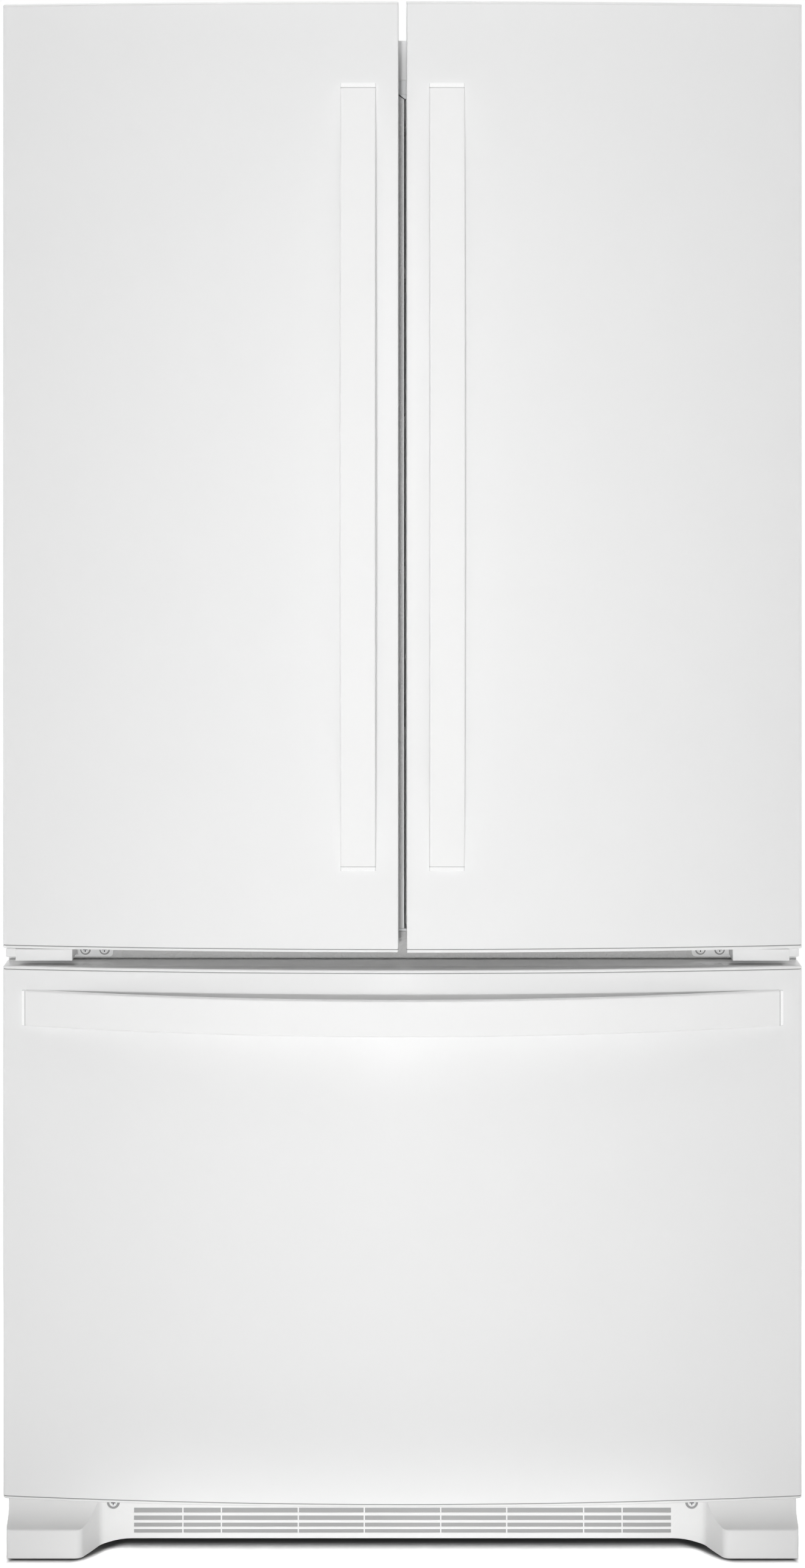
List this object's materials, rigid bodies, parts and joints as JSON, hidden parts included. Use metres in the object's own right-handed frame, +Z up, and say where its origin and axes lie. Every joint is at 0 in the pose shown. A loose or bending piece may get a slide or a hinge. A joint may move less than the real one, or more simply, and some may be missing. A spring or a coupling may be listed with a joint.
{
  "type": "french door refrigerator",
  "caption": "Free-standing french door refrigerator with bowed white doors, flat bow handles, a bottom freezer drawer, shelves, crispers, a flip mullion and a slotted toe grille.",
  "frame": {"origin": "on the floor, under the middle of the whole box", "axes": "+Z up, -Y out of the doors, +X to the right as seen from the front"},
  "size_m": [0.905, 0.8579, 1.765],
  "materials": {
    "white_enamel": "gloss",
    "white_moulding": "gloss",
    "handle_white": "gloss",
    "liner_white": "satin",
    "textured_grey": "satin",
    "grille_white": "satin",
    "gasket_grey": "matte",
    "insulation": "matte",
    "zinc_steel": "satin",
    "black_steel": "satin",
    "black_plastic": "matte",
    "fin_metal": "satin",
    "clear_plastic": "gloss",
    "shelf_glass": "gloss",
    "lens": "satin",
    "roller_plastic": "matte"
  },
  "bodies": {
    "cabinet": {"cabinet_wrapper": "white_enamel", "rear_panel": "zinc_steel", "cabinet_foam": "insulation", "fresh_food_liner": "liner_white", "freezer_liner": "liner_white", "centre_rail": "textured_grey", "base_frame": "zinc_steel", "machine_cover": "black_plastic", "toe_grille": "grille_white", "cabinet_screws": "white_enamel", "compressor": "black_steel", "condenser": "black_steel", "drain_pan": "black_plastic", "condenser_fan_motor": "black_plastic", "evaporator": "fin_metal", "evaporator_cover": "liner_white", "evaporator_fan_motor": "black_plastic", "air_duct": "liner_white", "control_housing": "liner_white", "light_lens": "lens", "shelf_frames": "white_moulding", "shelf_panes": "shelf_glass", "crisper_divider": "white_moulding", "top_hinges": "zinc_steel", "hinge_covers": "white_moulding", "centre_hinges": "white_enamel", "fixed_slides": "zinc_steel"},
    "left_door": {"left_door_skin": "white_enamel", "left_door_foam": "insulation", "left_door_liner": "liner_white", "left_door_gasket": "gasket_grey", "left_door_handle": "handle_white", "left_door_caps": "white_moulding", "left_door_bins": "clear_plastic"},
    "mullion": {"mullion_bar": "textured_grey"},
    "right_door": {"right_door_skin": "white_enamel", "right_door_foam": "insulation", "right_door_liner": "liner_white", "right_door_gasket": "gasket_grey", "right_door_handle": "handle_white", "right_door_caps": "white_moulding", "right_door_bins": "clear_plastic"},
    "freezer_drawer": {"drawer_skin": "white_enamel", "drawer_foam": "insulation", "drawer_liner": "liner_white", "drawer_gasket": "gasket_grey", "drawer_handle": "handle_white", "drawer_caps": "white_moulding", "drawer_slides": "zinc_steel", "freezer_basket": "white_moulding"},
    "slide_middles": {"middle_slides": "zinc_steel"},
    "upper_freezer_basket": {"upper_basket": "clear_plastic"},
    "left_crisper_drawer": {"left_crisper": "clear_plastic"},
    "right_crisper_drawer": {"right_crisper": "clear_plastic"},
    "condenser_fan": {"condenser_fan_blade": "black_plastic"},
    "evaporator_fan": {"evaporator_fan_blade": "black_plastic"},
    "left_leg": {"left_levelling_leg": "zinc_steel"},
    "right_leg": {"right_levelling_leg": "zinc_steel"},
    "left_roller": {"left_rear_roller": "roller_plastic"},
    "right_roller": {"right_rear_roller": "roller_plastic"}
  },
  "joints": [
    {"name": "left_door_swing", "type": "hinge", "parent": "cabinet", "child": "left_door", "pos_m": [-0.4325, -0.334, 1.231], "axis": [0, 0, -1], "range_deg": [0, 120]},
    {"name": "right_door_swing", "type": "hinge", "parent": "cabinet", "child": "right_door", "pos_m": [0.4325, -0.334, 1.231], "axis": [0, 0, 1], "range_deg": [0, 120]},
    {"name": "mullion_fold", "type": "hinge", "parent": "left_door", "child": "mullion", "pos_m": [-0.033, -0.2976, 1.19], "axis": [0, 0, 1], "range_deg": [0, 90]},
    {"name": "freezer_drawer_slide", "type": "slide", "parent": "cabinet", "child": "freezer_drawer", "axis": [0, -1, 0], "range_m": [0, 0.4]},
    {"name": "slide_middles_travel", "type": "slide", "parent": "cabinet", "child": "slide_middles", "axis": [0, -1, 0], "range_m": [0, 0.2]},
    {"name": "upper_basket_slide", "type": "slide", "parent": "cabinet", "child": "upper_freezer_basket", "axis": [0, -1, 0], "range_m": [0, 0.24]},
    {"name": "left_crisper_slide", "type": "slide", "parent": "cabinet", "child": "left_crisper_drawer", "axis": [0, -1, 0], "range_m": [0, 0.25]},
    {"name": "right_crisper_slide", "type": "slide", "parent": "cabinet", "child": "right_crisper_drawer", "axis": [0, -1, 0], "range_m": [0, 0.25]},
    {"name": "condenser_fan_spin", "type": "hinge", "parent": "cabinet", "child": "condenser_fan", "pos_m": [0.016, 0.3105, 0.112], "axis": [1, 0, 0], "continuous": true},
    {"name": "evaporator_fan_spin", "type": "hinge", "parent": "cabinet", "child": "evaporator_fan", "pos_m": [0, 0.25, 0.595], "axis": [0, 1, 0], "continuous": true},
    {"name": "left_leg_turn", "type": "hinge", "parent": "cabinet", "child": "left_leg", "pos_m": [-0.429, -0.27, 0.05], "axis": [0, 0, 1], "continuous": true},
    {"name": "right_leg_turn", "type": "hinge", "parent": "cabinet", "child": "right_leg", "pos_m": [0.429, -0.27, 0.05], "axis": [0, 0, 1], "continuous": true},
    {"name": "left_roller_spin", "type": "hinge", "parent": "cabinet", "child": "left_roller", "pos_m": [-0.42, 0.365, 0.023], "axis": [1, 0, 0], "continuous": true},
    {"name": "right_roller_spin", "type": "hinge", "parent": "cabinet", "child": "right_roller", "pos_m": [0.42, 0.365, 0.023], "axis": [1, 0, 0], "continuous": true}
  ],
  "couplings": [
    {"joint": "mullion_fold", "follows": "left_door_swing", "ratio": 0.75},
    {"joint": "slide_middles_travel", "follows": "freezer_drawer_slide", "ratio": 0.5},
    {"joint": "upper_basket_slide", "follows": "freezer_drawer_slide", "ratio": 0.6},
    {"joint": "left_crisper_slide", "follows": "left_door_swing", "m_per_rad": 0.119},
    {"joint": "right_crisper_slide", "follows": "right_door_swing", "m_per_rad": 0.119}
  ]
}
